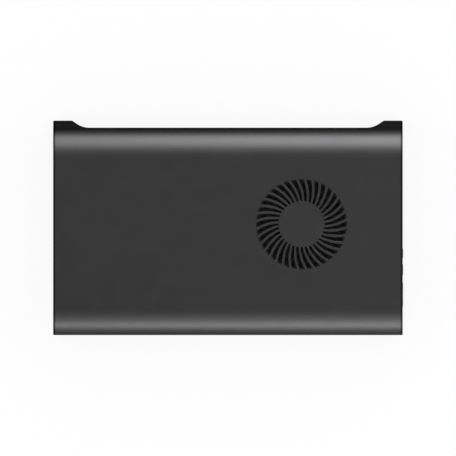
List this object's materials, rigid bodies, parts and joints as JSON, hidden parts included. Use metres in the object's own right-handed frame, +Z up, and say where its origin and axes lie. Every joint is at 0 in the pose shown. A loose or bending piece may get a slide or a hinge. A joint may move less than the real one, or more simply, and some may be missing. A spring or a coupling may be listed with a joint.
{
  "type": "external graphics card enclosure",
  "caption": "Flat desktop enclosure with a round front, an exhaust scoop between two rear ears, a swirl intake grille over a blower, sockets at both ends and push buttons.",
  "frame": {"origin": "under the middle of the body, on the plane of the feet", "axes": "+X along the length to the button end, +Y to the exhaust side, +Z up"},
  "size_m": [0.1971, 0.1208, 0.032],
  "materials": {
    "housing_grey": "satin moulded",
    "panel_black": "fine matt moulded",
    "grille_black": "matt moulded",
    "foot_rubber": "matt",
    "screw_steel": "zinc plated",
    "board_mask": "solder mask",
    "chip_black": "moulded",
    "die_grey": "polished",
    "pad_grey": "soft pad",
    "can_metal": "bare",
    "copper": "bare copper",
    "fin_metal": "bare",
    "spacer_brass": "turned",
    "blower_black": "moulded",
    "gasket_foam": "foam",
    "bearing_bronze": "sintered",
    "core_steel": "laminated",
    "magnet_dark": "bonded",
    "shaft_steel": "ground",
    "button_grey": "satin moulded",
    "switch_black": "moulded",
    "socket_metal": "nickel plated",
    "socket_black": "moulded",
    "pin_metal": "plated"
  },
  "bodies": {
    "enclosure": {"top_cover": "housing_grey", "bottom_cover": "housing_grey", "left_end_panel": "panel_black", "right_end_panel": "panel_black", "exhaust_grille": "grille_black", "rubber_feet": "foot_rubber", "cover_screws": "screw_steel", "mainboard": "board_mask", "board_screws": "screw_steel", "graphics_package": "chip_black", "graphics_die": "die_grey", "memory_chips": "chip_black", "thermal_pads": "pad_grey", "power_inductors": "chip_black", "power_capacitors": "can_metal", "cold_plate": "copper", "heat_pipes": "copper", "fin_stack": "fin_metal", "cooler_spacers": "spacer_brass", "cooler_screws": "screw_steel", "fan_housing": "blower_black", "fan_cover": "blower_black", "inlet_gasket": "gasket_foam", "fan_screws": "screw_steel", "fan_bearing": "bearing_bronze", "fan_stator": "core_steel", "stator_windings": "copper", "button_switches": "switch_black", "type_a_shell": "socket_metal", "type_a_insert": "socket_black", "type_c_shell": "socket_metal", "type_c_insert": "socket_black", "link_shell": "socket_metal", "link_insert": "socket_black", "network_shield": "socket_metal", "network_insert": "socket_black", "video_shells": "socket_metal", "video_inserts": "socket_black", "display_shells": "socket_metal", "display_inserts": "socket_black", "power_inlet_body": "socket_black", "power_inlet_pin": "pin_metal"},
    "blower_rotor": {"fan_rotor": "blower_black", "rotor_magnet": "magnet_dark", "fan_shaft": "shaft_steel"},
    "power_key": {"power_button": "button_grey"},
    "mode_key": {"mode_button": "button_grey"}
  },
  "joints": [
    {"name": "rotor_spin", "type": "hinge", "parent": "enclosure", "child": "blower_rotor", "pos_m": [0.04144, 0.00205, 0.014], "axis": [0, 0, 1], "continuous": true},
    {"name": "power_press", "type": "slide", "parent": "enclosure", "child": "power_key", "axis": [-1, 0, 0], "range_m": [0, 0.0004], "stiffness_N_per_m": 1500},
    {"name": "mode_press", "type": "slide", "parent": "enclosure", "child": "mode_key", "axis": [-1, 0, 0], "range_m": [0, 0.0004], "stiffness_N_per_m": 1500}
  ]
}
